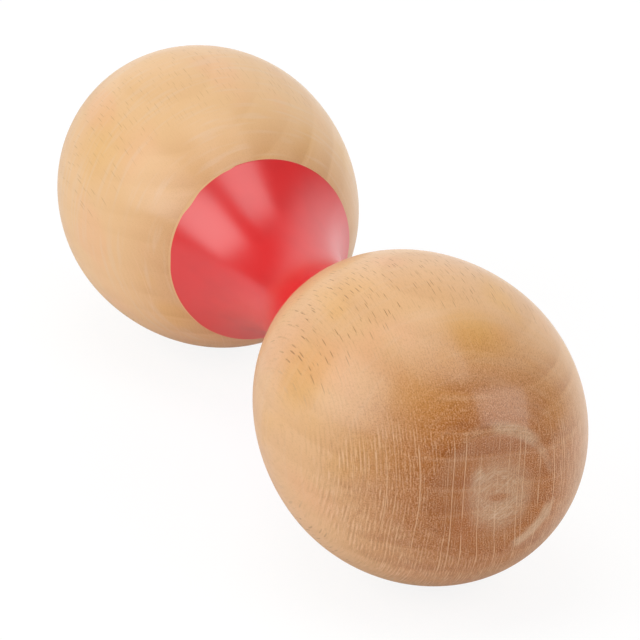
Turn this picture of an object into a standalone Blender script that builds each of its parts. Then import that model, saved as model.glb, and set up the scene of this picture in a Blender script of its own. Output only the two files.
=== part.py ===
"""Double-ended wooden maraca lying on its side.

Two hollow egg-shaped shells are glued onto the tenons of a turned waist, and a heap of loose steel
pellets rattles in the bore of each shell. The long axis is X, +Z is up, and the origin is the point
of the resting surface under the middle of the waist. Sizes are in metres.
"""

import math

import bmesh
import bpy
from mathutils import Matrix, Vector

# Waist
WAIST_LENGTH = 0.0474  # between the two shoulders that the shells are glued against
JOINT_RADIUS = 0.0160  # waist and shell are equally thick where they meet
NECK_RADIUS = 0.0085  # thinnest place, in the middle of the waist
TENON_LENGTH = 0.0080
TENON_CHAMFER = 0.0008

# Egg-shaped shells
EGG_RADIUS = 0.0250
EGG_INNER_LENGTH = 0.0280  # from the joint face to the widest place
EGG_OUTER_LENGTH = 0.0290  # from the widest place to the flat end
EGG_POWER = 1.9  # exponent of the superellipse that both halves of the profile follow
END_FLAT_RADIUS = 0.0085  # sanded flat where the shell was parted from the lathe
END_EDGE = 0.0025  # radial width of the soft edge that leads from the flat into the egg shape

# Chamber bored into each shell from its joint face
JOINT_LAND = 0.0030  # radial width of the ring that is glued, between bore and outside
END_WALL = 0.0110  # wood left between the bottom of the bore and the flat end
BORE_CORNER = 0.0020  # fillet round the bottom of the bore
MOUTH_CHAMFER = 0.0006
GLUE_GAP = 0.0003  # between the waist and a shell, round the tenon and at the shoulder

# Pellets
PELLET_RADIUS = 0.0020
PELLET_GAP = 0.0003  # to the wall of the chamber and to the next pellet
HEAP_ANGLE = math.radians(60)  # how far up the wall, from straight down, the heap can reach

# Fineness of the meshes
SEGMENTS = 32  # round the long axis, a multiple of four so that a facet lies on the floor
EGG_STEPS = 11  # along each half of the profile of a shell
END_EDGE_STEPS = 3
CORNER_STEPS = 3
WAIST_STEPS = 18
PELLET_SEGMENTS = 10
PELLET_RINGS = 7
SMOOTH_ANGLE = math.radians(35)
WELD = 1e-7

# Places along the long axis, measured from the middle of the waist
SHOULDER_X = WAIST_LENGTH / 2
TENON_END_X = SHOULDER_X + TENON_LENGTH
JOINT_FACE_X = SHOULDER_X + GLUE_GAP
EQUATOR_X = JOINT_FACE_X + EGG_INNER_LENGTH
END_X = EQUATOR_X + EGG_OUTER_LENGTH
CHAMBER_END_X = END_X - END_WALL

BORE_RADIUS = JOINT_RADIUS - JOINT_LAND
TENON_RADIUS = BORE_RADIUS - GLUE_GAP
AXIS_HEIGHT = EGG_RADIUS
# Radii are those of true circles, and the middle of each facet lies on them.
CORNER_RATIO = 1 / math.cos(math.pi / SEGMENTS)


def clear_scene():
    for obj in list(bpy.data.objects):
        bpy.data.objects.remove(obj)


def material(name, colour, roughness, metallic=0.0):
    """A plain surface of one colour."""
    made = bpy.data.materials.new(name)
    made.use_nodes = True
    shader = made.node_tree.nodes["Principled BSDF"]
    shader.inputs["Base Color"].default_value = (*colour, 1.0)
    shader.inputs["Roughness"].default_value = roughness
    shader.inputs["Metallic"].default_value = metallic
    made.diffuse_color = (*colour, 1.0)
    return made


def add_object(name, solid, surface, location):
    """Turns a bmesh into a named object with this material, placed at this location."""
    mesh = bpy.data.meshes.new(name)
    solid.to_mesh(mesh)
    solid.free()
    mesh.materials.append(surface)
    mesh.shade_smooth()
    mesh.set_sharp_from_angle(angle=SMOOTH_ANGLE)
    obj = bpy.data.objects.new(name, mesh)
    obj.location = location
    bpy.context.scene.collection.objects.link(obj)
    return obj


def turned(profile):
    """Spins a profile of (place along X, radius) points that starts and ends on the X axis."""
    solid = bmesh.new()
    first = Matrix.Rotation(math.pi / SEGMENTS, 4, "X")
    points = [solid.verts.new(first @ Vector((x, 0.0, radius * CORNER_RATIO))) for x, radius in profile]
    edges = [solid.edges.new(pair) for pair in zip(points, points[1:])]
    bmesh.ops.spin(
        solid,
        geom=points + edges,
        cent=(0.0, 0.0, 0.0),
        axis=(1.0, 0.0, 0.0),
        angle=2 * math.pi,
        steps=SEGMENTS,
        use_merge=True,
    )
    bmesh.ops.remove_doubles(solid, verts=solid.verts[:], dist=WELD)
    bmesh.ops.recalc_face_normals(solid, faces=solid.faces[:])
    return solid


def arc(centre, radius, start, end, steps):
    """Points of a profile on an arc, between two angles from the X axis."""
    angles = [start + (end - start) * step / steps for step in range(steps + 1)]
    return [(centre[0] + radius * math.cos(a), centre[1] + radius * math.sin(a)) for a in angles]


def egg_half(length, end_radius):
    """(distance from the equator, radius) points of the superellipse through this end point."""
    end_share = end_radius / EGG_RADIUS
    half_length = length / (1.0 - end_share**EGG_POWER) ** (1 / EGG_POWER)
    last = math.acos(end_share ** (EGG_POWER / 2))
    points = []
    for step in range(EGG_STEPS + 1):
        angle = last * step / EGG_STEPS
        along = half_length * math.sin(angle) ** (2 / EGG_POWER)
        points.append((along, EGG_RADIUS * math.cos(angle) ** (2 / EGG_POWER)))
    return points


def end_edge_drop():
    """How far the soft edge falls behind the flat, so that it runs into the egg shape without a crease."""
    radius_share = (END_FLAT_RADIUS + END_EDGE) / EGG_RADIUS
    along_share = (1.0 - radius_share**EGG_POWER) ** (1 / EGG_POWER)
    steepness = (radius_share / along_share) ** (EGG_POWER - 1.0)
    fall_share = END_EDGE / (2 * EGG_RADIUS * along_share) * steepness
    return EGG_OUTER_LENGTH * fall_share / (1.0 + fall_share)


def end_edge():
    """(place along X, radius) points of the soft edge, a parabola that falls away from the flat end."""
    points = []
    for step in range(END_EDGE_STEPS):
        share = step / END_EDGE_STEPS
        points.append((END_X - end_edge_drop() * share**2, END_FLAT_RADIUS + END_EDGE * share))
    return points


def shell_profile():
    """From the bottom of the bore to the mouth, and over the outside to the flat end."""
    corner_centre = (CHAMBER_END_X - BORE_CORNER, BORE_RADIUS - BORE_CORNER)
    bore = [(CHAMBER_END_X, 0.0)]
    bore += arc(corner_centre, BORE_CORNER, 0.0, math.pi / 2, CORNER_STEPS)
    bore += [(JOINT_FACE_X + MOUTH_CHAMFER, BORE_RADIUS), (JOINT_FACE_X, BORE_RADIUS + MOUTH_CHAMFER)]
    inner = egg_half(EGG_INNER_LENGTH, JOINT_RADIUS)
    outer = egg_half(EGG_OUTER_LENGTH - end_edge_drop(), END_FLAT_RADIUS + END_EDGE)
    outside = [(EQUATOR_X - along, radius) for along, radius in reversed(inner)]
    outside += [(EQUATOR_X + along, radius) for along, radius in outer[1:]]
    return bore + outside + end_edge()[::-1] + [(END_X, 0.0)]


def add_shell(name, side, surface):
    """A shell: side is 1 for the one towards +X and -1 for the one towards -X."""
    solid = turned(shell_profile())
    if side < 0:
        bmesh.ops.rotate(solid, verts=solid.verts[:], matrix=Matrix.Rotation(math.pi, 3, "Z"))
    return add_object(name, solid, surface, (0.0, 0.0, AXIS_HEIGHT))


def waist_profile():
    """One tenon, the concave waist between its shoulders, and the other tenon."""
    rise = JOINT_RADIUS - NECK_RADIUS
    hollow_radius = (rise**2 + SHOULDER_X**2) / (2 * rise)
    hollow_centre = (0.0, NECK_RADIUS + hollow_radius)
    half_angle = math.asin(SHOULDER_X / hollow_radius)
    front = -math.pi / 2 + half_angle
    rear = -math.pi / 2 - half_angle
    tenon = [
        (TENON_END_X, 0.0),
        (TENON_END_X, TENON_RADIUS - TENON_CHAMFER),
        (TENON_END_X - TENON_CHAMFER, TENON_RADIUS),
        (SHOULDER_X, TENON_RADIUS),
    ]
    hollow = arc(hollow_centre, hollow_radius, front, rear, WAIST_STEPS)
    return tenon + hollow + [(-along, radius) for along, radius in reversed(tenon)]


def add_waist(surface):
    return add_object("waist", turned(waist_profile()), surface, (0.0, 0.0, AXIS_HEIGHT))


def nested_on(left, right, spacing):
    """The place above two pellets at this spacing from both, or None where they lie too far apart."""
    between = (right - left) / 2
    if between.length >= spacing:
        return None
    lift = math.sqrt(spacing**2 - between.length**2)
    return left + between + Vector((-between.y, between.x)).normalized() * lift


def heap_places():
    """(sideways, height over the long axis) of each pellet in a heap, seen along the bore.

    The first layer lies on the wall of the bore, and each next layer in the hollows of the last.
    """
    spacing = 2 * PELLET_RADIUS + PELLET_GAP
    wall_radius = BORE_RADIUS - PELLET_RADIUS - PELLET_GAP
    pitch = 2 * math.asin(spacing / (2 * wall_radius))
    count = 1 + int(2 * HEAP_ANGLE / pitch)
    angles = [(index - (count - 1) / 2) * pitch for index in range(count)]
    layer = [Vector((wall_radius * math.sin(a), -wall_radius * math.cos(a))) for a in angles]
    places = []
    while layer:
        places += layer
        above = []
        for left, right in zip(layer, layer[1:]):
            place = nested_on(left, right, spacing)
            if place and all((place - other).length >= spacing for other in above):
                above.append(place)
        layer = above
    return places


def add_pellets(prefix, side, surface):
    """The pellets of one chamber, heaped against its end nearer -X, each with its origin inside it."""
    chamber_start = TENON_END_X if side > 0 else -CHAMBER_END_X
    for number, (sideways, height) in enumerate(heap_places(), start=1):
        ball = bmesh.new()
        bmesh.ops.create_uvsphere(
            ball, u_segments=PELLET_SEGMENTS, v_segments=PELLET_RINGS, radius=PELLET_RADIUS
        )
        centre = (chamber_start + PELLET_GAP + PELLET_RADIUS, sideways, AXIS_HEIGHT + height)
        add_object(f"{prefix}_pellet_{number:02d}", ball, surface, centre)


def main():
    clear_scene()
    beech = material("lacquered_beech", (0.72, 0.38, 0.19), 0.45)
    red = material("red_paint", (0.74, 0.024, 0.026), 0.25)
    steel = material("steel", (0.60, 0.60, 0.60), 0.25, metallic=1.0)
    add_waist(red)
    for prefix, side in (("front", 1), ("rear", -1)):
        add_shell(f"{prefix}_shell", side, beech)
        add_pellets(prefix, side, steel)


main()
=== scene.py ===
"""Looks of a double-ended wooden maraca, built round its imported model.

Two hollow shells of clear-lacquered beech, the red waist that joins them, and the steel shot that
rattles in the shells. The long axis is X, +Z is up, and lengths are in metres, as in the model.
"""

import logging
import math
from dataclasses import dataclass
from enum import Enum
from functools import partial, reduce

import bmesh
import bpy
from bmesh.types import BMesh, BMFace
from bpy.types import ID, Material, Node, Object
from bpy.types import NodeSocket as Socket
from mathutils import Matrix, Vector


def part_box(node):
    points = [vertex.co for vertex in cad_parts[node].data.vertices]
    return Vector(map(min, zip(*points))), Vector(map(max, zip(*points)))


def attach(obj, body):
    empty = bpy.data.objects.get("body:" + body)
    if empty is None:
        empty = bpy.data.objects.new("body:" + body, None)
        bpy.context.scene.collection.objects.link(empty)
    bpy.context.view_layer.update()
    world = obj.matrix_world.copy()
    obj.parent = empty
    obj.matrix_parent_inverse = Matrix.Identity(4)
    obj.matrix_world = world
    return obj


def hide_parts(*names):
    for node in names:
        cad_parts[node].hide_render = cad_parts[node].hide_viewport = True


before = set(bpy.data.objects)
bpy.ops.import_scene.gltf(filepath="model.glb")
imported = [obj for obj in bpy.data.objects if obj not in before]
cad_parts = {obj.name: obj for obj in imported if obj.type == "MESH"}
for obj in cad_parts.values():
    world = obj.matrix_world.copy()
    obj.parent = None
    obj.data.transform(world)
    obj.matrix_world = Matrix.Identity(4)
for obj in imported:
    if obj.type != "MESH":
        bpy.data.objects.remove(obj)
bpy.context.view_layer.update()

logging.basicConfig(level=logging.INFO, format="%(message)s")
log = logging.getLogger("maraca")

MM = 0.001
ACROSS = (0.0, 1.0, 1.0)  # what lies across the long axis
WHITE = (1.0, 1.0, 1.0)

Pair = tuple[float, float]
Triple = tuple[float, float, float]
Rgb = tuple[float, float, float]
Profile = list[Pair]
Source = Socket | float | tuple  # what an input takes: an output, or a value


def mm(*lengths: float) -> tuple[float, ...]:
    """Lengths in millimetres, turned into metres."""
    return tuple(length * MM for length in lengths)


class End(Enum):
    """The two ends of the maraca."""

    FRONT = "front"
    REAR = "rear"

    @property
    def label(self) -> str:
        """The word that the names of this end's pieces start with."""
        return self.value


class Slot(Enum):
    """Names for material slots; nothing here uses them."""

    BEECH = "lacquered_beech"
    PAINT = "red_paint"
    STEEL = "steel"


@dataclass(frozen=True)
class FrameSizes:
    """Lengths that the pieces share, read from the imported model."""

    axis_height: float
    egg_radius: float
    joint_radius: float
    joint_face_x: float
    end_x: float
    tenon_end_x: float

    @classmethod
    def measured(cls) -> "FrameSizes":
        """Reads the lengths from the boxes of the front shell and the waist.

        Returns:
            The shared lengths.
        """
        shell_low, shell_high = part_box("front_shell")
        waist_low, waist_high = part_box("waist")
        return cls(
            axis_height=(shell_low.z + shell_high.z) / 2,
            egg_radius=(shell_high.z - shell_low.z) / 2,
            joint_radius=(waist_high.z - waist_low.z) / 2,
            joint_face_x=shell_low.x,
            end_x=shell_high.x,
            tenon_end_x=waist_high.x,
        )


class Graph:
    """The node tree of a material or of the world, with short ways to add and join nodes."""

    def __init__(self, owner: ID, shader: str = "Principled BSDF") -> None:
        """Switches the owner's nodes on.

        Args:
            owner: a new material or world.
            shader: the name of the node that gives its look.
        """
        owner.use_nodes = True
        self.owner = owner
        self.tree = owner.node_tree
        self.shader = self.tree.nodes[shader]

    def node(self, kind: str, inputs: dict, **settings: object) -> Node:
        """Adds one node.

        Args:
            kind: the node's type, without the ShaderNode that all the types start with.
            inputs: a value or another node's output for each input, by name or by number.
            settings: the node's own properties.

        Returns:
            The new node.
        """
        made = self.tree.nodes.new(f"ShaderNode{kind}")
        for name, value in settings.items():
            setattr(made, name, value)
        for place, value in inputs.items():
            self.feed(made.inputs[place], value)
        return made

    def feed(self, socket: Socket, value: Source) -> None:
        """Links an output to an input, or sets the input's own value.

        Args:
            socket: the input.
            value: another node's output, or a number, vector or colour.
        """
        if isinstance(value, Socket):
            self.tree.links.new(value, socket)
        else:
            socket.default_value = (*value, 1.0) if socket.type == "RGBA" else value

    def dress(self, inputs: dict) -> ID:
        """Sets the shader's inputs.

        Args:
            inputs: a value or another node's output for each input, by name.

        Returns:
            The material or world that now looks so.
        """
        for name, value in inputs.items():
            self.feed(self.shader.inputs[name], value)
        return self.owner

    def maths(self, operation: str, *values: Source) -> Socket:
        """The result of a sum on numbers, by Blender's name of it."""
        return self.node("Math", dict(enumerate(values)), operation=operation).outputs[0]

    def total(self, *values: Source) -> Socket:
        """All the numbers added up."""
        return reduce(partial(self.maths, "ADD"), values)

    def product(self, *values: Source) -> Socket:
        """All the numbers multiplied."""
        return reduce(partial(self.maths, "MULTIPLY"), values)

    def largest(self, *values: Source) -> Socket:
        """The largest of the numbers."""
        return reduce(partial(self.maths, "MAXIMUM"), values)

    def rest(self, share: Source) -> Socket:
        """What a share leaves of 1."""
        return self.maths("SUBTRACT", 1.0, share)

    def vector(self, operation: str, *values: Source) -> Socket:
        """The result of a sum on vectors, which is a number for a length or a dot product."""
        made = self.node("VectorMath", dict(enumerate(values)), operation=operation)
        return made.outputs["Value" if operation in ("LENGTH", "DISTANCE", "DOT_PRODUCT") else "Vector"]

    def part(self, vector: Source, axis: str) -> Socket:
        """A vector's length along one axis."""
        return self.node("SeparateXYZ", {"Vector": vector}).outputs[axis]

    def rise(self, value: Source, low: float, high: float, top: float = 1.0) -> Socket:
        """A smooth step from 0 at one value to the top at another.

        Args:
            value: what the step follows.
            low: where the step is 0, which may be above high.
            high: where it reaches the top.
            top: the step's height.

        Returns:
            The step's socket.
        """
        inputs = {"Value": value, "From Min": low, "From Max": high, "To Min": 0.0, "To Max": top}
        if low > high:
            inputs.update({"From Min": high, "From Max": low, "To Min": top, "To Max": 0.0})
        return self.node("MapRange", inputs, interpolation_type="SMOOTHSTEP").outputs["Result"]

    def between(self, share: Source, first: Source, second: Source) -> Socket:
        """A number that moves from the first to the second as the share grows."""
        return self.node("Mix", {0: share, 2: first, 3: second}).outputs[0]

    def blend(self, share: Source, first: Source, second: Source, way: str = "MIX") -> Socket:
        """A colour mixed with a share of a second one, in one of Blender's ways."""
        inputs = {0: share, 6: first, 7: second}
        return self.node("Mix", inputs, data_type="RGBA", blend_type=way).outputs[2]

    def noise(self, place: Source, grain: Triple, shift: float, detail: float = 2.0) -> Socket:
        """Noise whose blotches have a given size along each axis.

        Args:
            place: the coordinates that it is read at.
            grain: the length of a blotch along X, Y and Z.
            shift: moves the pattern, so that two noises differ.
            detail: how many finer octaves there are.

        Returns:
            The noise's number socket, around one half.
        """
        stretched = self.vector("ADD", self.vector("DIVIDE", place, grain), (shift, shift, shift))
        inputs = {"Vector": stretched, "Scale": 1.0, "Detail": detail, "Roughness": 0.55}
        return self.node("TexNoise", inputs).outputs["Fac"]

    def from_middle(self, axis_height: float) -> Socket:
        """Object coordinates with their zero in the middle of the waist."""
        place = self.node("TexCoord", {}).outputs["Object"]
        return self.vector("SUBTRACT", place, (0.0, 0.0, axis_height))

    def turned(self, place: Source, turn_deg: float) -> Socket:
        """Coordinates that are turned about the long axis."""
        inputs = {"Vector": place, "Rotation": (math.radians(turn_deg), 0.0, 0.0)}
        return self.node("Mapping", inputs, vector_type="TEXTURE").outputs["Vector"]

    def sector(self, across: Source, turn_deg: float, half_turn_deg: float, top: float) -> Socket:
        """A soft sector round the long axis.

        Args:
            across: coordinates from the long axis, with no length along it.
            turn_deg: the sector's middle, from +Y towards +Z.
            half_turn_deg: half its width.
            top: its value in the middle.

        Returns:
            A number socket, 0 outside the sector.
        """
        turn, edge = math.radians(turn_deg), math.cos(math.radians(half_turn_deg))
        middle = (0.0, math.cos(turn), math.sin(turn))
        cosine = self.vector("DOT_PRODUCT", self.vector("NORMALIZE", across), middle)
        return self.rise(cosine, edge, (3.0 + edge) / 4, top)

    def stored(self, name: str) -> Socket:
        """A number that the mesh stores for each of its points."""
        return self.node("Attribute", {}, attribute_name=name).outputs["Fac"]

    def relief(self, height: Source, strength: float) -> Socket:
        """A bumpy surface's normal, with bumps of at most 0.05 mm."""
        return self.node("Bump", {"Strength": strength, "Distance": 0.05 * MM, "Height": height}).outputs[0]

    def by_ray(self, plain: Source, mirrored: Source, seen: Source) -> Socket:
        """A number that depends on what looks.

        Args:
            plain: the number that lights things.
            mirrored: the one in reflections and through glass.
            seen: the one to the camera.

        Returns:
            The number's socket.
        """
        path = self.node("LightPath", {}).outputs
        bounced = self.largest(path["Is Glossy Ray"], path["Is Transmission Ray"])
        return self.between(path["Is Camera Ray"], self.between(bounced, plain, mirrored), seen)


@dataclass(frozen=True)
class Rays:
    """The broad rays of beech: thin upright sheets of cells, short along the grain."""

    spacing: Triple = (3.0 * MM, 0.85 * MM, 1.0)
    half_size: Triple = (1.35 * MM, 0.080 * MM, 1.0)
    break_size: Triple = mm(3.0, 0.9, 16)  # of the noise that breaks the sheets up
    soft_share: float = 0.50  # of a sheet's half size, from where it fades out


@dataclass(frozen=True)
class Patch:
    """A soft-edged patch of warmer wood, partly painted shade on the rear shell, or of thicker lacquer."""

    middle: Triple  # from the middle of the waist
    radius: float
    strength: float


@dataclass(frozen=True)
class WornSpot:
    """A soft-edged worn oval on the flat end."""

    middle: Pair  # along Y and Z, from the long axis
    half_size: Pair
    strength: float


@dataclass(frozen=True)
class WornArc:
    """A worn stretch of the soft edge round the flat end."""

    radius: float
    half_width: float
    turn_deg: float  # round the long axis, from +Y towards +Z
    half_turn_deg: float
    strength: float


@dataclass(frozen=True)
class Scuffs:
    """Pale wear on the outer end: on the soft edge round the flat, and where the lathe centre was."""

    arcs: tuple[WornArc, ...] = (
        WornArc(10.1 * MM, 1.4 * MM, 66.0, 30.0, 0.80),
        WornArc(10.1 * MM, 1.2 * MM, 82.0, 44.0, 0.27),
        WornArc(9.9 * MM, 0.9 * MM, 30.0, 22.0, 0.35),
        WornArc(10.3 * MM, 1.4 * MM, -44.0, 30.0, 1.0),
    )
    spots: tuple[WornSpot, ...] = (
        WornSpot(mm(1.1, -0.6), mm(4.8, 5.5), 0.80),
        WornSpot(mm(1.1, -3.5), mm(3.2, 1.6), 1.0),
        WornSpot(mm(-1.8, 1.5), mm(1.5, 2.8), 0.90),
    )
    spared: WornSpot = WornSpot(mm(1.3, -1.1), mm(1.5, 0.6), 0.7)  # hardly worn
    reach: Pair = mm(3.5, 2.0)  # from the flat end: none beyond the first, full within the second
    swirl_middle: Pair = mm(1.4, -0.6)
    swirl_width: float = 0.15 * MM  # of the scratches, which run round that point
    swirls_around: float = 2.2  # how often the scratches change on their way round
    slant_deg: float = 38.0  # of the straight scratches that cross them
    slant_size: Triple = mm(3, 1.9, 0.13)


@dataclass(frozen=True)
class BeechFinish:
    """Beech with the grain along X: growth rings, rays, pores and a clear satin lacquer."""

    name: str
    ring_turn_deg: float  # how far the growth rings are turned round the long axis
    shift: float  # moves the noises, so that no two pieces are cut from the same place
    tone_and_shade_patches: tuple[Patch, ...] = ()
    polished: tuple[Patch, ...] = ()  # where the lacquer is thicker
    ray_strength: float = 0.85
    crispness: float = 1.0  # of the pores and narrow rays
    combed: float = 1.0  # how clearly the narrow rays line the end grain
    turning_marks: float = 0.0
    lacquer: float = 0.30
    lacquer_ior: float = 1.58
    lacquer_roughness: float = 0.17
    gloss: float = 0.10  # of the wood under the lacquer
    roughness: float = 0.42
    worn_roughness: float = 0.25  # more, where it is worn
    bumpiness: float = 0.25
    side_grain: Rgb = (0.810, 0.485, 0.245)
    end_grain: Rgb = (0.500, 0.172, 0.046)
    golden: Rgb = (1.00, 0.92, 0.55)
    rosy: Rgb = (1.02, 0.95, 0.98)
    ring_shade: Rgb = (0.86, 0.78, 0.72)
    ray_on_end: Rgb = (0.90, 0.60, 0.37)
    ray_on_side: Rgb = (0.40, 0.180, 0.065)
    pore_shade: Rgb = (0.49, 0.37, 0.265)
    worn: Rgb = (0.80, 0.60, 0.42)
    pore_size: Triple = mm(1.0, 0.15, 0.17)
    mark_size: Triple = mm(1.1, 9, 9)  # of the turning marks
    tint_size: Triple = mm(22, 13, 13)
    ring_width: float = 4.3 * MM
    ring_waver: Triple = mm(60, 25, 6)  # how far apart the rings bulge
    ring_fade: Triple = mm(30, 12, 12)  # how far apart they stand out
    thread_spacing: float = 0.44 * MM
    thread_drift: Triple = mm(20, 2.5, 20)
    thread_patch: Triple = mm(4, 1.6, 2.6)  # the size of a place with even threads
    thread_size: Triple = mm(4, 0.11, 1.8)  # of an uneven thread
    heart_distance: float = 180 * MM
    sway: float = 0.15 * MM  # how far the grain wanders from straight
    sway_size: Triple = mm(34, 15, 15)
    lean: float = -0.19  # of the rays below this height, towards -Y as they go down
    lean_start: float = -8 * MM
    lean_soft: float = 3 * MM
    rays: Rays = Rays()
    long_rays: Rays = Rays(
        spacing=(14 * MM, 1.15 * MM, 1.0),
        half_size=(6.5 * MM, 0.075 * MM, 1.0),
        break_size=mm(8, 1.6, 6),
    )
    scuffs: Scuffs = Scuffs()

    def build(self, sizes: FrameSizes) -> Material:
        """Makes the material."""
        return BeechPattern(self, sizes).finished()


@dataclass(frozen=True)
class Layer:
    """A colour that a pattern lays over the wood's own."""

    share: Source  # how much of it there is
    colour: Source
    way: str = "MIX"  # Blender's name of the way of mixing


class BeechPattern(Graph):
    """The nodes of one beech finish."""

    def __init__(self, finish: BeechFinish, sizes: FrameSizes) -> None:
        """Sets up the coordinates and noises that the patterns share.

        Args:
            finish: the colours, sizes and strengths.
            sizes: the shared lengths.
        """
        super().__init__(bpy.data.materials.new(finish.name))
        self.finish = finish
        self.end_x = sizes.end_x
        self.centred = self.from_middle(sizes.axis_height)
        self.across = self.vector("MULTIPLY", self.centred, ACROSS)
        self.place = self.swaying(self.turned(self.centred, finish.ring_turn_deg))
        self.facing = self.stored("end_grain")  # how much the surface faces along the grain
        self.on_end = self.rise(self.facing, 0.25, 0.92)
        self.threads = self.threaded()
        self.pores = self.grained(finish.pore_size, 5.0, 1.0)
        self.lines, self.dashes = self.lined()

    def finished(self) -> Material:
        """Lays the patterns over the wood and dresses the material.

        Returns:
            The material.
        """
        finish, wear = self.finish, self.wear()
        layers = self.tints() + self.rings() + self.pits() + self.narrow_rays() + self.broad_rays()
        marks = self.noise(self.centred, finish.mark_size, finish.shift + 8.0, 1.0)
        layers.append(Layer(self.rise(marks, 0.50, 0.72, finish.turning_marks), finish.worn))
        layers.append(Layer(self.product(wear, 0.75), finish.worn))
        colour = self.blend(self.on_end, finish.side_grain, finish.end_grain)
        for layer in layers:
            colour = self.blend(layer.share, colour, layer.colour, layer.way)
        height = self.total(self.product(self.threads, 0.6), self.pores)
        look = {
            "Base Color": colour,
            "Roughness": self.total(finish.roughness, self.product(wear, finish.worn_roughness)),
            "Normal": self.relief(height, finish.bumpiness),
            "Specular IOR Level": finish.gloss,
            "Coat Weight": self.lacquered(wear),
            "Coat IOR": finish.lacquer_ior,
            "Coat Roughness": finish.lacquer_roughness,
        }
        return self.dress(look)

    def grained(self, size: Triple, number: float, detail: float = 2.0) -> Socket:
        """Noise around one half that follows the grain. Its number keeps it unlike the others."""
        return self.noise(self.place, size, self.finish.shift + number, detail)

    def swaying(self, place: Source) -> Socket:
        """Bends straight grain a little, and leans its rays.

        Args:
            place: coordinates along and across straight grain.

        Returns:
            The bent coordinates.
        """
        finish = self.finish
        stretched = self.vector("DIVIDE", place, finish.sway_size)
        shifted = self.vector("ADD", stretched, (finish.shift, 0.0, 0.0))
        wander = self.node("TexNoise", {"Vector": shifted, "Scale": 1.0, "Detail": 1.0}).outputs["Color"]
        wander = self.vector("SUBTRACT", wander, (0.5, 0.5, 0.5))
        swayed = self.vector("MULTIPLY", wander, (0.0, 2 * finish.sway, 2 * finish.sway))
        below = self.maths("SUBTRACT", finish.lean_start, self.part(place, "Z"))
        lean = self.product(self.maths("SMOOTH_MAX", below, 0.0, finish.lean_soft), finish.lean)
        swayed = self.vector("ADD", place, swayed)
        return self.vector("ADD", swayed, self.node("CombineXYZ", {"Y": lean}).outputs[0])

    def threaded(self) -> Socket:
        """The narrow rays: fine upright threads, evenly spaced in some places and not in others.

        Returns:
            A number socket around one half, high on a thread and low beside it.
        """
        finish = self.finish
        drift = self.product(self.grained(finish.thread_drift, 3.0, 0.0), 6.0)
        phase = self.product(self.part(self.place, "Y"), 2 * math.pi / finish.thread_spacing)
        phase = self.total(phase, drift)
        even = self.rise(self.grained(finish.thread_patch, 4.0, 1.0), 0.40, 0.62, 0.13)
        even = self.product(self.maths("SINE", phase), even)
        ragged = self.maths("SUBTRACT", self.grained(finish.thread_size, 2.0), 0.5)
        return self.total(even, self.product(ragged, 0.75), 0.5)

    def sheets(self, rays: Rays, number: float) -> Socket:
        """Finds the broad rays.

        Args:
            rays: their sizes.
            number: the number of the noise that breaks them up.

        Returns:
            A number socket, 1 in the middle of a strong ray and 0 between the rays.
        """
        cells = self.vector("DIVIDE", self.place, rays.spacing)
        inputs = {"Vector": cells, "Scale": 1.0, "Randomness": 1.0}
        nearest = self.node("TexVoronoi", inputs, feature="F1", voronoi_dimensions="2D").outputs
        stretch = (rays.spacing[0] / rays.half_size[0], rays.spacing[1] / rays.half_size[1], 0.0)
        offset = self.vector("MULTIPLY", self.vector("SUBTRACT", cells, nearest["Position"]), stretch)
        sheet = self.rise(self.vector("LENGTH", offset), 1.0, rays.soft_share)
        luck = self.node("SeparateColor", {"Color": nearest["Color"]}).outputs["Red"]
        strength = self.total(0.20, self.product(self.maths("POWER", luck, 1.3), 0.80))
        unbroken = self.rise(self.grained(rays.break_size, number, 1.0), 0.36, 0.50)
        return self.product(sheet, strength, unbroken)

    def patch(self, patch: Patch, uneven: Source) -> Socket:
        """Finds a patch.

        Args:
            patch: the patch.
            uneven: noise around one half, which makes its edge uneven.

        Returns:
            A number socket, the patch's strength in its middle.
        """
        away = self.vector("DISTANCE", self.centred, patch.middle)
        frayed = self.total(away, self.product(uneven, patch.radius))
        return self.rise(frayed, 1.5 * patch.radius, 0.5 * patch.radius, patch.strength)

    def spot(self, spot: WornSpot) -> Socket:
        """Finds a worn oval.

        Args:
            spot: the oval.

        Returns:
            A number socket, the oval's strength in its middle.
        """
        offset = self.vector("SUBTRACT", self.across, (0.0, *spot.middle))
        away = self.vector("LENGTH", self.vector("DIVIDE", offset, (1.0, *spot.half_size)))
        return self.rise(away, 1.4, 0.6, spot.strength)

    def arc(self, arc: WornArc) -> Socket:
        """Finds a worn stretch of the soft edge.

        Args:
            arc: the stretch.

        Returns:
            A number socket, the stretch's strength in its middle.
        """
        off_ring = self.maths("SUBTRACT", self.vector("LENGTH", self.across), arc.radius)
        ring = self.rise(self.maths("ABSOLUTE", off_ring), arc.half_width, arc.half_width / 4)
        return self.product(ring, self.sector(self.across, arc.turn_deg, arc.half_turn_deg, arc.strength))

    def wear(self) -> Socket:
        """Finds the worn places of the outer end.

        Returns:
            A number socket, 1 where the wear is strongest.
        """
        scuffs, scratches = self.finish.scuffs, self.scratches()
        rubbed = self.largest(0.0, *map(self.arc, scuffs.arcs))
        rubbed = self.product(rubbed, self.total(0.55, self.product(scratches, 0.45)))
        ground = self.largest(0.0, *map(self.spot, scuffs.spots))
        scribbled = self.total(0.42, self.product(scratches, 0.58))
        ground = self.product(ground, self.rest(self.spot(scuffs.spared)), scribbled)
        along = self.maths("ABSOLUTE", self.part(self.centred, "X"))
        at_end = self.rise(along, *(self.end_x - reach for reach in scuffs.reach))
        return self.product(self.largest(rubbed, ground), at_end)

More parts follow.
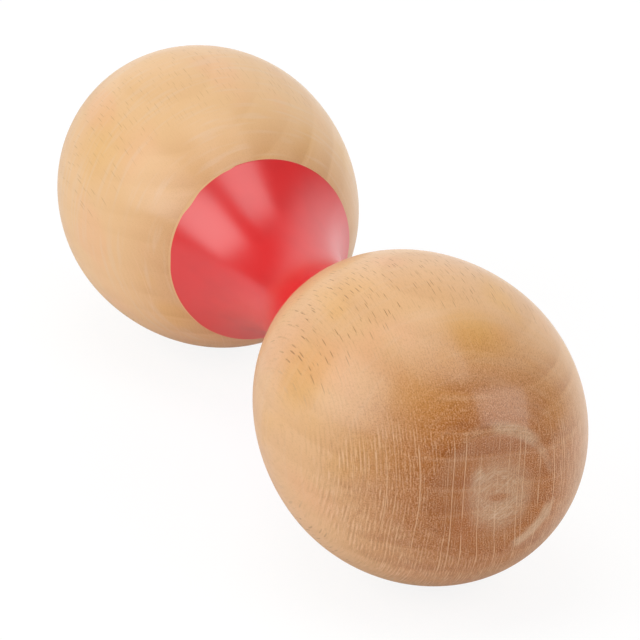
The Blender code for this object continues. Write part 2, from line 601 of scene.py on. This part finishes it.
    def scratches(self) -> Socket:
        """Fine scratches: some run round the lathe centre, others cross them on a slant.

        Returns:
            A number socket, 1 in a scratch.
        """
        scuffs = self.finish.scuffs
        offset = self.vector("SUBTRACT", self.across, (0.0, *scuffs.swirl_middle))
        outwards = self.maths("DIVIDE", self.vector("LENGTH", offset), scuffs.swirl_width)
        round_about = (0.0, scuffs.swirls_around, scuffs.swirls_around)
        around = self.vector("MULTIPLY", self.vector("NORMALIZE", offset), round_about)
        place = self.vector("ADD", around, self.node("CombineXYZ", {"X": outwards}).outputs[0])
        swirls = self.noise(place, (1.0, 1.0, 1.0), 3.1, 3.0)
        straight = self.noise(self.turned(self.across, scuffs.slant_deg), scuffs.slant_size, 5.7)
        return self.rise(self.largest(swirls, straight), 0.50, 0.66)

    def lacquered(self, wear: Source) -> Source:
        """How thick the lacquer is.

        Args:
            wear: 1 where the surface is worn through.

        Returns:
            A number socket, or the plain thickness where nothing changes it.
        """
        if not self.finish.polished:
            return self.finish.lacquer
        thick = self.largest(0.0, *(self.patch(patch, self.pores) for patch in self.finish.polished))
        return self.product(self.total(thick, self.finish.lacquer), self.rest(wear))

    def tints(self) -> list[Layer]:
        """Makes broad golden and rosy patches; the rear shell's golden patch is partly painted shade.

        Returns:
            Their layers.
        """
        broad = self.grained(self.finish.tint_size, 11.0, 1.5)
        tone_and_shade_patches = [self.patch(patch, broad) for patch in self.finish.tone_and_shade_patches]
        golden = self.largest(self.rise(broad, 0.54, 0.72, 0.45), *tone_and_shade_patches)
        rosy = self.rise(broad, 0.48, 0.34, 0.8)
        return [Layer(golden, self.finish.golden, "MULTIPLY"), Layer(rosy, self.finish.rosy, "MULTIPLY")]

    def rings(self) -> list[Layer]:
        """Makes growth rings: each darkens towards its outside, and starts again with a pale line.

        Returns:
            Their layers, which show less on the sides.
        """
        finish = self.finish
        from_heart = self.vector("SUBTRACT", self.place, (0.0, 0.0, finish.heart_distance))
        across = self.vector("LENGTH", self.vector("MULTIPLY", from_heart, ACROSS))
        count = self.maths("DIVIDE", across, finish.ring_width)
        share = self.maths("FRACT", self.total(count, self.grained(finish.ring_waver, 17.0, 1.0)))
        late = self.product(self.rise(share, 0.30, 0.86), self.rise(share, 1.0, 0.90))
        early = self.rise(self.maths("ABSOLUTE", self.maths("SUBTRACT", share, 0.09)), 0.09, 0.0)
        strength = self.rise(self.grained(finish.ring_fade, 23.0), 0.38, 0.62)
        strength = self.product(strength, self.total(0.25, self.rise(self.on_end, 0.0, 0.4, 0.75)))
        shade = self.product(late, self.total(0.12, self.product(strength, 0.70)))
        line = self.product(early, self.product(strength, 0.16))
        return [Layer(shade, finish.ring_shade, "MULTIPLY"), Layer(line, finish.ray_on_end)]

    def pits(self) -> list[Layer]:
        """Makes the pores: fine dark and pale dots on end grain, and faint short lines on the sides.

        Returns:
            Their layers.
        """
        finish = self.finish
        opened = self.product(self.rise(self.facing, 0.25, 1.0), finish.crispness)
        dark = self.total(0.12 * finish.crispness, self.product(opened, 0.66))
        dark = self.product(self.rise(self.pores, 0.48, 0.32), dark)
        pale = self.product(self.rise(self.pores, 0.52, 0.68, 0.52), opened)
        return [Layer(dark, finish.pore_shade, "MULTIPLY"), Layer(pale, finish.ray_on_end)]

    def lined(self) -> tuple[Socket, Socket]:
        """Finds where the rays show.

        Returns:
            Number sockets, 1 where they show as pale lines, and 1 where they are cut end on.
        """
        direction = self.vector("NORMALIZE", self.vector("MULTIPLY", self.place, ACROSS))
        height = self.part(direction, "Z")
        low_down = self.maths("SUBTRACT", height, self.product(self.facing, 1.3))
        lines = self.total(0.12, self.rise(low_down, -0.10, -0.48, 0.88))
        cut_end_on = self.rise(self.maths("ABSOLUTE", height), 0.18, 0.50)
        lines = self.product(self.rise(self.facing, 0.20, 0.50), lines)
        return lines, self.product(cut_end_on, self.rise(self.facing, 0.46, 0.22))

    def narrow_rays(self) -> list[Layer]:
        """Makes the narrow rays: pale threads with dark gaps between them.

        Returns:
            Their layers, which are rubbed down on the flat end.
        """
        finish = self.finish
        rubbed = self.rise(self.facing, 0.90, 1.0, 0.30 * finish.combed)
        comb = self.product(self.lines, self.maths("SUBTRACT", finish.combed, rubbed))
        pale = self.total(0.32, self.rise(self.facing, 0.90, 0.60, 0.24))
        narrow = self.product(self.rise(self.threads, 0.50, 0.68), self.product(comb, pale))
        deep = self.total(0.17, self.rise(self.facing, 0.90, 0.45, 0.08))
        gaps = self.total(0.08 * finish.crispness, self.product(comb, deep))
        gaps = self.product(self.rise(self.threads, 0.48, 0.34), gaps)
        return [Layer(narrow, finish.ray_on_end), Layer(gaps, finish.ray_on_side)]

    def broad_rays(self) -> list[Layer]:
        """Makes the broad rays: pale lines across the end grain, brown dashes where they are cut end on.

        Returns:
            Their layer.
        """
        finish = self.finish
        end_on = self.product(self.sheets(finish.rays, 0.0), self.dashes)
        side_on = self.product(self.sheets(finish.long_rays, 1.0), self.lines)
        seen = self.product(self.largest(side_on, end_on), finish.ray_strength)
        return [Layer(seen, self.blend(self.dashes, finish.ray_on_end, finish.ray_on_side))]


@dataclass(frozen=True)
class BareGap:
    """A stretch of the joint where the paint stops short of the rear shell."""

    turn_deg: float  # round the long axis, from +Y towards +Z
    half_turn_deg: float
    length: float


@dataclass(frozen=True)
class PaintFinish:
    """Gloss red paint, brushed on turned wood whose grain shows through faintly."""

    name: str = "red_gloss_paint"
    colour: Rgb = (0.790, 0.013, 0.015)
    # The deep red is that of thicker paint, and also the painted shade along the tip of the paint's rim.
    deep: Rgb = (0.680, 0.008, 0.010)
    bare: Rgb = (0.80, 0.50, 0.26)
    roughness: float = 0.45
    streaks: float = 0.06  # more roughness, along the brush
    bumpiness: float = 0.08
    coat_weight: float = 0.84
    coat_ior: float = 1.92  # high, so that the gloss grows little towards grazing angles
    coat_roughness: float = 0.28
    cloud_size: Triple = mm(16, 7, 7)  # of the places with thicker paint
    streak_size: Triple = mm(9, 0.5, 0.5)
    peel_size: Triple = mm(0.9, 0.9, 0.9)
    edge_softness: float = 0.08 * MM
    gaps: tuple[BareGap, ...] = (
        BareGap(126.0, 24.0, 0.30 * MM),
        BareGap(159.0, 28.0, 0.32 * MM),
        BareGap(204.0, 32.0, 0.30 * MM),
        BareGap(184.0, 90.0, 0.25 * MM),
    )

    def build(self, sizes: FrameSizes) -> Material:
        """Makes the material.

        Args:
            sizes: the shared lengths.

        Returns:
            The material.
        """
        graph = Graph(bpy.data.materials.new(self.name))
        place = graph.from_middle(sizes.axis_height)
        clouds = graph.rise(graph.noise(place, self.cloud_size, 4.0), 0.42, 0.70, 0.55)
        colour = graph.blend(clouds, self.colour, self.deep)
        # Painted shade: the tip of the paint's rim is darkened towards the deep red, a thin dark line where
        # the film's edge would be shadowed.
        colour = graph.blend(graph.product(graph.stored("rim_painted_shade"), 0.9), colour, self.deep)
        missed = self.missed(graph, place, sizes.joint_face_x)
        grain = graph.noise(place, self.streak_size, 9.0)
        height = graph.total(graph.product(grain, 0.5), graph.noise(place, self.peel_size, 13.0, 1.0))
        look = {
            "Base Color": graph.blend(missed, colour, self.bare),
            "Roughness": graph.total(self.roughness, graph.rise(grain, 0.45, 0.75, self.streaks)),
            "Normal": graph.relief(height, self.bumpiness),
            "Specular IOR Level": 0.0,
            "Coat Weight": graph.product(graph.rest(missed), self.coat_weight),
            "Coat IOR": self.coat_ior,
            "Coat Roughness": self.coat_roughness,
        }
        return graph.dress(look)

    def missed(self, graph: Graph, place: Source, joint_face_x: float) -> Socket:
        """Finds where the brush stopped short of the rear shell.

        Args:
            graph: the material's.
            place: coordinates with their zero in the middle of the waist.
            joint_face_x: how far a joint lies from there.

        Returns:
            A number socket, 1 on the bare wood.
        """
        across = graph.vector("MULTIPLY", place, ACROSS)
        reaches = [graph.sector(across, gap.turn_deg, gap.half_turn_deg, gap.length) for gap in self.gaps]
        edge = graph.maths("SUBTRACT", graph.total(0.0, *reaches), joint_face_x + self.edge_softness)
        return graph.rise(graph.maths("SUBTRACT", edge, graph.part(place, "X")), 0.0, self.edge_softness)


@dataclass(frozen=True)
class SteelFinish:
    """Bright rolled steel shot, dulled in spots by wood dust and rubbing."""

    name: str = "rolled_steel"
    bright: Rgb = (0.62, 0.61, 0.60)
    dull: Rgb = (0.42, 0.40, 0.38)
    roughness: float = 0.22
    dull_roughness: float = 0.22  # more, on the dull spots
    spot_size: Triple = mm(0.7, 0.7, 0.7)

    def build(self) -> Material:
        """Makes the material.

        Returns:
            The material.
        """
        graph = Graph(bpy.data.materials.new(self.name))
        place = graph.node("TexCoord", {}).outputs["Object"]
        dulled = graph.rise(graph.noise(place, self.spot_size, 2.0, 3.0), 0.50, 0.68)
        rough = graph.total(self.roughness, graph.product(dulled, self.dull_roughness))
        colour = graph.blend(dulled, self.bright, self.dull)
        return graph.dress({"Base Color": colour, "Roughness": rough, "Metallic": 1.0})


def linked(name: str, data: ID) -> Object:
    """Makes an object of a mesh, lamp or camera and adds it to the scene.

    Args:
        name: the object's name.
        data: its mesh, lamp or camera.

    Returns:
        The object, at the origin.
    """
    obj = bpy.data.objects.new(name, data)
    bpy.context.scene.collection.objects.link(obj)
    return obj


def smooth_object(name: str, solid: BMesh, *materials: Material) -> Object:
    """Makes an object whose place is in its mesh.

    Args:
        name: the object's name.
        solid: its shape, which is used up.
        materials: its materials, in the order of the faces' numbers.

    Returns:
        The object, shaded smooth.
    """
    mesh = bpy.data.meshes.new(name)
    solid.to_mesh(mesh)
    solid.free()
    for material in materials:
        mesh.materials.append(material)
    mesh.shade_smooth()
    return linked(name, mesh)


def arc_points(centre: Pair, radius: float, start: float, end: float, steps: int) -> Profile:
    """Points on an arc from one angle to another, both ends included, in so many straight steps."""
    angles = [start + (end - start) * step / steps for step in range(steps + 1)]
    return [(centre[0] + radius * math.cos(a), centre[1] + radius * math.sin(a)) for a in angles]


def off_axis(face: BMFace) -> float:
    """How far the middle of a face lies from the X axis."""
    middle = face.calc_center_median()
    return math.hypot(middle.y, middle.z)


@dataclass(frozen=True)
class Lathe:
    """Turns profiles about the X axis, and makes objects of them on the maraca's own axis."""

    axis_height: float
    segments: int = 160
    weld: float = 1e-7
    sharp_angle: float = math.radians(38)

    def turned(self, profile: Profile) -> BMesh:
        """Spins a profile of (place along X, radius) that starts and ends on the X axis.

        Args:
            profile: the points, or a closed loop of them if the first equals the last.

        Returns:
            The solid, with its faces outwards and always in the same order.
        """
        solid = bmesh.new()
        points = [solid.verts.new((x, 0.0, radius)) for x, radius in profile]
        edges = [solid.edges.new(pair) for pair in zip(points, points[1:])]
        bmesh.ops.spin(
            solid,
            geom=points + edges,
            cent=(0.0, 0.0, 0.0),
            axis=(1.0, 0.0, 0.0),
            angle=2 * math.pi,
            steps=self.segments,
            use_merge=True,
        )
        bmesh.ops.remove_doubles(solid, verts=solid.verts[:], dist=self.weld)
        bmesh.ops.recalc_face_normals(solid, faces=solid.faces[:])
        solid.verts.index_update()
        in_order = sorted(solid.faces, key=lambda face: sorted(point.index for point in face.verts))
        for number, face in enumerate(in_order):
            face.index = number
        solid.faces.sort()
        return solid

    def add(self, name: str, solid: BMesh, *materials: Material) -> Object:
        """Lifts a solid to the maraca's axis, makes an object of it, and notes each point's end grain.

        Args:
            name: the object's name.
            solid: its shape, round the X axis.
            materials: its materials, in the order of the faces' numbers.

        Returns:
            The object.
        """
        bmesh.ops.translate(solid, verts=solid.verts[:], vec=(0.0, 0.0, self.axis_height))
        end_grain = [min(abs(face.normal.x) for face in point.link_faces) for point in solid.verts]
        obj = smooth_object(name, solid, *materials)
        obj.data.set_sharp_from_angle(angle=self.sharp_angle)
        obj.data.attributes.new("end_grain", "FLOAT", "POINT").data.foreach_set("value", end_grain)
        return obj


@dataclass
class Shell:
    """One egg-shaped end, bored from its joint face and sanded flat at its outer end."""

    end: End
    sizes: FrameSizes
    lathe: Lathe
    inner_length: float = 28.0 * MM  # from the joint face to the widest place
    egg_power: float = 1.9
    flat_radius: float = 8.5 * MM
    flat_edge: float = 2.5 * MM
    land: float = 3.0 * MM
    end_wall: float = 11.0 * MM
    bore_corner: float = 2.0 * MM
    mouth_chamfer: float = 0.6 * MM
    egg_steps: int = 40
    edge_steps: int = 10
    corner_steps: int = 6
    flat_steps: int = 5

    @property
    def equator_x(self) -> float:
        """The widest place."""
        return self.sizes.joint_face_x + self.inner_length

    @property
    def bore_radius(self) -> float:
        """The radius of the chamber."""
        return self.sizes.joint_radius - self.land

    def edge_drop(self) -> float:
        """How far the soft edge falls behind the flat, so that it runs into the egg without a crease.

        Returns:
            The fall along the long axis.
        """
        radius_share = (self.flat_radius + self.flat_edge) / self.sizes.egg_radius
        along_share = (1.0 - radius_share**self.egg_power) ** (1 / self.egg_power)
        steepness = (radius_share / along_share) ** (self.egg_power - 1.0)
        fall_share = self.flat_edge / (2 * self.sizes.egg_radius * along_share) * steepness
        return (self.sizes.end_x - self.equator_x) * fall_share / (1.0 + fall_share)

    def egg_half(self, length: float, end_radius: float) -> Profile:
        """The superellipse from the widest place to an end of this radius.

        Args:
            length: from the widest place to that end.
            end_radius: the radius there.

        Returns:
            (distance from the widest place, radius) points.
        """
        end_share = end_radius / self.sizes.egg_radius
        half_length = length / (1.0 - end_share**self.egg_power) ** (1 / self.egg_power)
        last = math.acos(end_share ** (self.egg_power / 2))
        points = []
        for step in range(self.egg_steps + 1):
            angle = last * step / self.egg_steps
            along = half_length * math.sin(angle) ** (2 / self.egg_power)
            points.append((along, self.sizes.egg_radius * math.cos(angle) ** (2 / self.egg_power)))
        return points

    def profile(self) -> Profile:
        """From the bottom of the bore to the mouth, and over the outside to the flat end.

        Returns:
            (place along X, radius) points of a shell towards +X.
        """
        face, end = self.sizes.joint_face_x, self.sizes.end_x
        bottom = end - self.end_wall
        corner = (bottom - self.bore_corner, self.bore_radius - self.bore_corner)
        points = [(bottom, 0.0)]
        points += arc_points(corner, self.bore_corner, 0.0, math.pi / 2, self.corner_steps)
        points.append((face + self.mouth_chamfer, self.bore_radius))
        points.append((face, self.bore_radius + self.mouth_chamfer))
        drop = self.edge_drop()
        inner = self.egg_half(self.inner_length, self.sizes.joint_radius)
        outer = self.egg_half(end - self.equator_x - drop, self.flat_radius + self.flat_edge)
        points += [(self.equator_x - along, radius) for along, radius in reversed(inner)]
        points += [(self.equator_x + along, radius) for along, radius in outer[1:]]
        for step in range(self.edge_steps - 1, -1, -1):
            share = step / self.edge_steps
            points.append((end - drop * share**2, self.flat_radius + self.flat_edge * share))
        for step in range(self.flat_steps - 1, -1, -1):
            points.append((end, self.flat_radius * step / self.flat_steps))
        return points

    def build(self, lacquered: Material, raw: Material) -> Object:
        """Turns the shell and dresses it.

        Args:
            lacquered: the outside's material.
            raw: the material of the bore and of the face that is glued.

        Returns:
            The shell.
        """
        solid = self.lathe.turned(self.profile())
        inside = self.bore_radius + self.mouth_chamfer
        for face in solid.faces:
            along = face.calc_center_median().x
            in_bore = along < self.sizes.end_x - self.end_wall / 2 and off_axis(face) < inside
            glued = abs(face.normal.x) > 0.99 and along < self.equator_x
            face.material_index = 1 if in_bore or glued else 0
        if self.end is End.REAR:
            bmesh.ops.rotate(solid, verts=solid.verts[:], matrix=Matrix.Rotation(math.pi, 3, "Z"))
        obj = self.lathe.add(f"{self.end.label}_turned_shell", solid, lacquered, raw)
        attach(obj, "wooden_body")
        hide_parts(f"{self.end.label}_shell")
        return obj


@dataclass
class Waist:
    """The concave grip, with a tenon at each end."""

    sizes: FrameSizes
    lathe: Lathe
    neck_radius: float = 8.5 * MM
    tenon_radius: float = 12.7 * MM
    tenon_chamfer: float = 0.8 * MM
    glue_gap: float = 0.3 * MM
    hollow_steps: int = 72

    @property
    def shoulder_x(self) -> float:
        """Where the paint ends and the tenon starts."""
        return self.sizes.joint_face_x - self.glue_gap

    def profile(self) -> Profile:
        """One tenon, the hollow between the shoulders, and the other tenon.

        Returns:
            (place along X, radius) points from +X to -X.
        """
        rise = self.sizes.joint_radius - self.neck_radius
        hollow_radius = (rise**2 + self.shoulder_x**2) / (2 * rise)
        half_angle = math.asin(self.shoulder_x / hollow_radius)
        end = self.sizes.tenon_end_x
        tenon = [
            (end, 0.0),
            (end, self.tenon_radius - self.tenon_chamfer),
            (end - self.tenon_chamfer, self.tenon_radius),
            (self.shoulder_x, self.tenon_radius),
        ]
        centre = (0.0, self.neck_radius + hollow_radius)
        down = -math.pi / 2
        hollow = arc_points(centre, hollow_radius, down + half_angle, down - half_angle, self.hollow_steps)
        return tenon + hollow + [(-along, radius) for along, radius in reversed(tenon)]

    def build(self, paint: Material, raw: Material) -> Object:
        """Turns the waist and dresses it.

        Args:
            paint: the material between the shoulders.
            raw: the material of the tenons.

        Returns:
            The waist.
        """
        solid = self.lathe.turned(self.profile())
        for face in solid.faces:
            bare = abs(face.calc_center_median().x) > self.shoulder_x - self.glue_gap / 3
            on_tenon = abs(face.normal.x) > 0.99 or off_axis(face) < 0.9 * self.sizes.joint_radius
            face.material_index = 1 if bare and on_tenon else 0
        obj = self.lathe.add("painted_waist", solid, paint, raw)
        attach(obj, "wooden_body")
        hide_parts("waist")
        return obj


@dataclass
class PaintEdge:
    """The rim of the red paint, which bridges a joint and ends unevenly on the bare shell."""

    end: End
    sizes: FrameSizes
    lathe: Lathe
    film: float = 0.03 * MM
    start: float = 0.55 * MM  # before the joint face, on the waist
    lap: float = 0.05 * MM  # past the joint face, on the shell
    depth: float = 0.5 * MM
    waist_slope: float = 0.60  # radius gained along X on each side of the joint
    shell_slope: float = 0.75
    waver: float = 0.03 * MM

    def wander(self, angle: float) -> float:
        """How far the rim lies from its mean place, away from the waist, at a turn from +Y towards +Z."""
        wave = 0.5 * math.sin(3 * angle + 0.7) + 0.3 * math.sin(7 * angle + 2.1)
        return self.waver * (wave + 0.2 * math.sin(13 * angle))

    def profile(self) -> Profile:
        """A closed section: a thin skin outside, and a root that fills the joint.

        Returns:
            (place along X, radius) points of a rim towards +X.
        """
        face, radius = self.sizes.joint_face_x, self.sizes.joint_radius
        tip = face + self.lap
        points = [
            (face - self.start, radius - self.start * self.waist_slope + self.film / 2),
            (face - self.start / 3, radius - self.start / 3 * self.waist_slope + self.film),
            (face, radius + self.film),
            (tip - self.film, radius + (tip - face) * self.shell_slope + self.film),
            (tip, radius + (tip - face) * self.shell_slope),
            (tip - self.film, radius - self.depth),
            (face - self.start / 2, radius - self.depth),
        ]
        return points + points[:1]

    def build(self, paint: Material) -> Object:
        """Makes the rim.

        Args:
            paint: its material.

        Returns:
            The rim.
        """
        solid = self.lathe.turned(self.profile())
        edge_start = self.sizes.joint_face_x + self.film
        tip = self.sizes.joint_face_x + self.lap
        for vertex in solid.verts:
            share = min(max((vertex.co.x - edge_start) / (tip - edge_start), 0.0), 1.0)
            angle = math.atan2(vertex.co.z, vertex.co.y)
            radius = math.hypot(vertex.co.y, vertex.co.z)
            step = share * self.wander(angle)
            grown = (radius + step * self.shell_slope) / radius
            vertex.co = (vertex.co.x + step, vertex.co.y * grown, vertex.co.z * grown)
        if self.end is End.REAR:
            bmesh.ops.scale(solid, verts=solid.verts[:], vec=(-1.0, 1.0, 1.0))
            bmesh.ops.reverse_faces(solid, faces=solid.faces[:])
        obj = self.lathe.add(f"{self.end.label}_paint_edge", solid, paint)
        # The points past the joint face, where the paint's material paints a thin line of shade.
        tip_shade = [float(abs(vertex.co.x) > self.sizes.joint_face_x) for vertex in obj.data.vertices]
        obj.data.attributes.new("rim_painted_shade", "FLOAT", "POINT").data.foreach_set("value", tip_shade)
        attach(obj, "wooden_body")
        return obj


@dataclass
class Shot:
    """The loose steel balls of one chamber."""

    end: End
    subdivisions: int = 4

    def build(self, steel: Material) -> list[Object]:
        """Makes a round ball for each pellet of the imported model.

        Args:
            steel: the balls' material.

        Returns:
            The balls.
        """
        made = []
        for node in sorted(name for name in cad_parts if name.startswith(f"{self.end.label}_pellet_")):
            low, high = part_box(node)
            ball = bmesh.new()
            radius = (high.z - low.z) / 2
            bmesh.ops.create_icosphere(ball, subdivisions=self.subdivisions, radius=radius)
            bmesh.ops.translate(ball, verts=ball.verts[:], vec=(low + high) / 2)
            obj = smooth_object(node.replace("pellet", "ball"), ball, steel)
            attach(obj, node)
            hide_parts(node)
            made.append(obj)
        return made


@dataclass(frozen=True)
class SoftBox:
    """A plain rectangular studio lamp."""

    name: str
    middle: Triple  # from the middle of the maraca
    facing: Triple  # the way its light goes straight out
    width: float
    height: float
    radiance: float  # where a lit white card is 1
    roll_deg: float = 0.0  # how far its width is turned up from level

    def build(self, target: Vector) -> None:
        """Makes the lamp.

        Args:
            target: the middle of the maraca.
        """
        data = bpy.data.lights.new(self.name, "AREA")
        data.shape = "RECTANGLE"
        data.size, data.size_y = self.width, self.height
        data.energy = self.radiance * self.width * self.height * math.pi
        back = -Vector(self.facing).normalized()
        upward = Vector((0.0, 1.0, 0.0) if abs(back.z) > 0.9 else (0.0, 0.0, 1.0))
        level = upward.cross(back).normalized()
        level.rotate(Matrix.Rotation(math.radians(self.roll_deg), 3, back))
        axes = Matrix((level, back.cross(level), back)).transposed()
        lamp = linked(self.name, data)
        lamp.matrix_world = Matrix.Translation(target + Vector(self.middle)) @ axes.to_4x4()


@dataclass(frozen=True)
class FloorLook:
    """How the floor looks to one kind of ray."""

    colour: float
    glow: float  # which no shadow reaches


@dataclass
class Studio:
    """The pale table, the soft lamps and the camera."""

    sizes: FrameSizes
    camera_azimuth_deg: float = 69.98
    camera_elevation_deg: float = 22.42
    camera_distance: float = 870.5 * MM
    camera_right: float = 1.964 * MM  # how far the aim lies from the middle of the maraca
    camera_up: float = -3.19 * MM
    lens: float = 299.2  # on a 36 mm sensor
    floor_half_size: float = 3.0
    floor_plain: FloorLook = FloorLook(0.94, 0.0)
    floor_seen: FloorLook = FloorLook(0.14, 0.88)  # to the camera
    floor_mirrored: FloorLook = FloorLook(0.60, 0.14)
    floor_back_glow: float = 0.50  # more glow in reflections, behind the maraca
    floor_back_y: float = 90 * MM
    room_light: float = 0.37
    room_mirrored: float = 0.13
    backdrop_light: float = 1.0
    backdrop_azimuth_deg: float = 152.0
    backdrop_edge: Pair = (0.50, 0.88)  # cosines of the angle from its middle, where it starts and is full
    boxes: tuple[SoftBox, ...] = (
        SoftBox("key_softbox", (-0.14, -0.90, 0.64), (0.0, 1.0, 0.0), 0.88, 0.94, 2.3, 18.0),
        SoftBox("top_softbox", (-0.05, -0.08, 0.95), (0.0, 0.0, -1.0), 0.80, 0.62, 1.90),
        SoftBox("side_softbox", (0.54, 0.54, 0.585), (-0.55, -0.52, -0.66), 0.80, 0.48, 1.5, -30.0),
    )

    def add_world(self) -> None:
        """A grey room with a white backdrop behind the maraca, and white to the camera."""
        graph = Graph(bpy.data.worlds.new("studio"), "Background")
        azimuth = math.radians(self.backdrop_azimuth_deg)
        direction = graph.node("TexCoord", {}).outputs["Generated"]
        facing = graph.vector("DOT_PRODUCT", direction, (math.cos(azimuth), math.sin(azimuth), 0.0))
        backdrop = graph.rise(facing, *self.backdrop_edge)
        plain = graph.between(backdrop, self.room_light, self.backdrop_light)
        mirrored = graph.between(backdrop, self.room_mirrored, self.backdrop_light)
        look = {"Color": WHITE, "Strength": graph.by_ray(plain, mirrored, 1.0)}
        bpy.context.scene.world = graph.dress(look)

    def add_floor(self) -> None:
        """A white table that the camera sees nearly white, with the maraca's shadow on it."""
        sheet = bmesh.new()
        bmesh.ops.create_grid(sheet, x_segments=1, y_segments=1, size=self.floor_half_size)
        plain, mirrored, seen = self.floor_plain, self.floor_mirrored, self.floor_seen
        graph = Graph(bpy.data.materials.new("white_table"))
        depth = graph.part(graph.node("TexCoord", {}).outputs["Object"], "Y")
        behind = graph.rise(depth, 0.0, self.floor_back_y, self.floor_back_glow)
        look = {
            "Base Color": graph.by_ray(plain.colour, mirrored.colour, seen.colour),
            "Specular IOR Level": 0.0,
            "Roughness": 1.0,
            "Emission Color": WHITE,
            "Emission Strength": graph.by_ray(plain.glow, graph.total(behind, mirrored.glow), seen.glow),
        }
        floor = smooth_object("floor", sheet, graph.dress(look))

    def add_camera(self, target: Vector) -> None:
        """Places the camera at the photograph's viewing angle.

        Args:
            target: the middle of the maraca.
        """
        azimuth = math.radians(self.camera_azimuth_deg)
        elevation = math.radians(self.camera_elevation_deg)
        right = Vector((math.cos(azimuth), math.sin(azimuth), 0.0))
        back = Vector((math.sin(azimuth), -math.cos(azimuth), 0.0)) * math.cos(elevation)
        back.z = math.sin(elevation)
        data = bpy.data.cameras.new("camera")
        data.lens = self.lens
        data.clip_start = self.camera_distance / 100
        camera = linked("camera", data)
        aim = target + right * self.camera_right + back.cross(right) * self.camera_up
        camera.location = aim + back * self.camera_distance
        camera.rotation_euler = back.to_track_quat("Z", "Y").to_euler()
        bpy.context.scene.camera = camera

    def build(self) -> None:
        """Makes the whole studio."""
        target = Vector((0.0, 0.0, self.sizes.axis_height))
        self.add_camera(target)
        self.add_floor()
        for box in self.boxes:
            box.build(target)
        self.add_world()
        bpy.context.scene.view_settings.view_transform = "Standard"
        log.info("studio: table, %d lamps and camera", len(self.boxes))


def main() -> None:
    """Builds the studio and every piece of the maraca."""
    sizes = FrameSizes.measured()
    lathe = Lathe(sizes.axis_height)
    Studio(sizes).build()
    paint = PaintFinish().build(sizes)
    steel = SteelFinish().build()
    raw = BeechFinish("raw_beech", 0.0, 31.0, lacquer=0.0).build(sizes)
    front = BeechFinish(
        "front_beech",
        ring_turn_deg=-3.0,
        shift=0.0,
        tone_and_shade_patches=(
            Patch(mm(56.5, -21.5, 11.5), 9.0 * MM, 0.50),
            Patch(mm(76.8, -6.0, 12.0), 11.5 * MM, 1.0),
            Patch(mm(69.3, 1.8, 19.6), 8.5 * MM, 0.85),
        ),
        polished=(
            Patch(mm(78.0, 2.2, 12.0), 13.0 * MM, 0.80),
            Patch(mm(67.7, -17.4, 11.9), 8.0 * MM, 0.25),
        ),
        turning_marks=0.07,
    )
    rear = BeechFinish(
        "rear_beech",
        ring_turn_deg=18.0,
        shift=57.0,
        # Partly painted shade: this golden patch darkens the middle of the rear egg, besides warming its
        # tone.
        tone_and_shade_patches=(Patch(mm(-45.8, -21.0, 12.5), 9.0 * MM, 0.35),),
        polished=(Patch(mm(-27.3, -15.5, 8.6), 6.5 * MM, 0.50),),
        ray_strength=0.35,
        crispness=0.28,
        combed=0.10,
        turning_marks=0.22,
        # Partly painted light: paler than the front, so that with the patch above the rear egg is lighter
        # at its top than in its middle.
        side_grain=(0.845, 0.535, 0.275),
        end_grain=(0.65, 0.325, 0.145),
        ring_shade=(0.91, 0.86, 0.82),
    )
    pieces = [Waist(sizes, lathe).build(paint, raw)]
    for end, finish in ((End.FRONT, front), (End.REAR, rear)):
        pieces.append(Shell(end, sizes, lathe).build(finish.build(sizes), raw))
        pieces.append(PaintEdge(end, sizes, lathe).build(paint))
        pieces += Shot(end).build(steel)
    for piece in pieces:
        log.info("%s: %d faces", piece.name, len(piece.data.polygons))


if __name__ == "__main__":
    main()
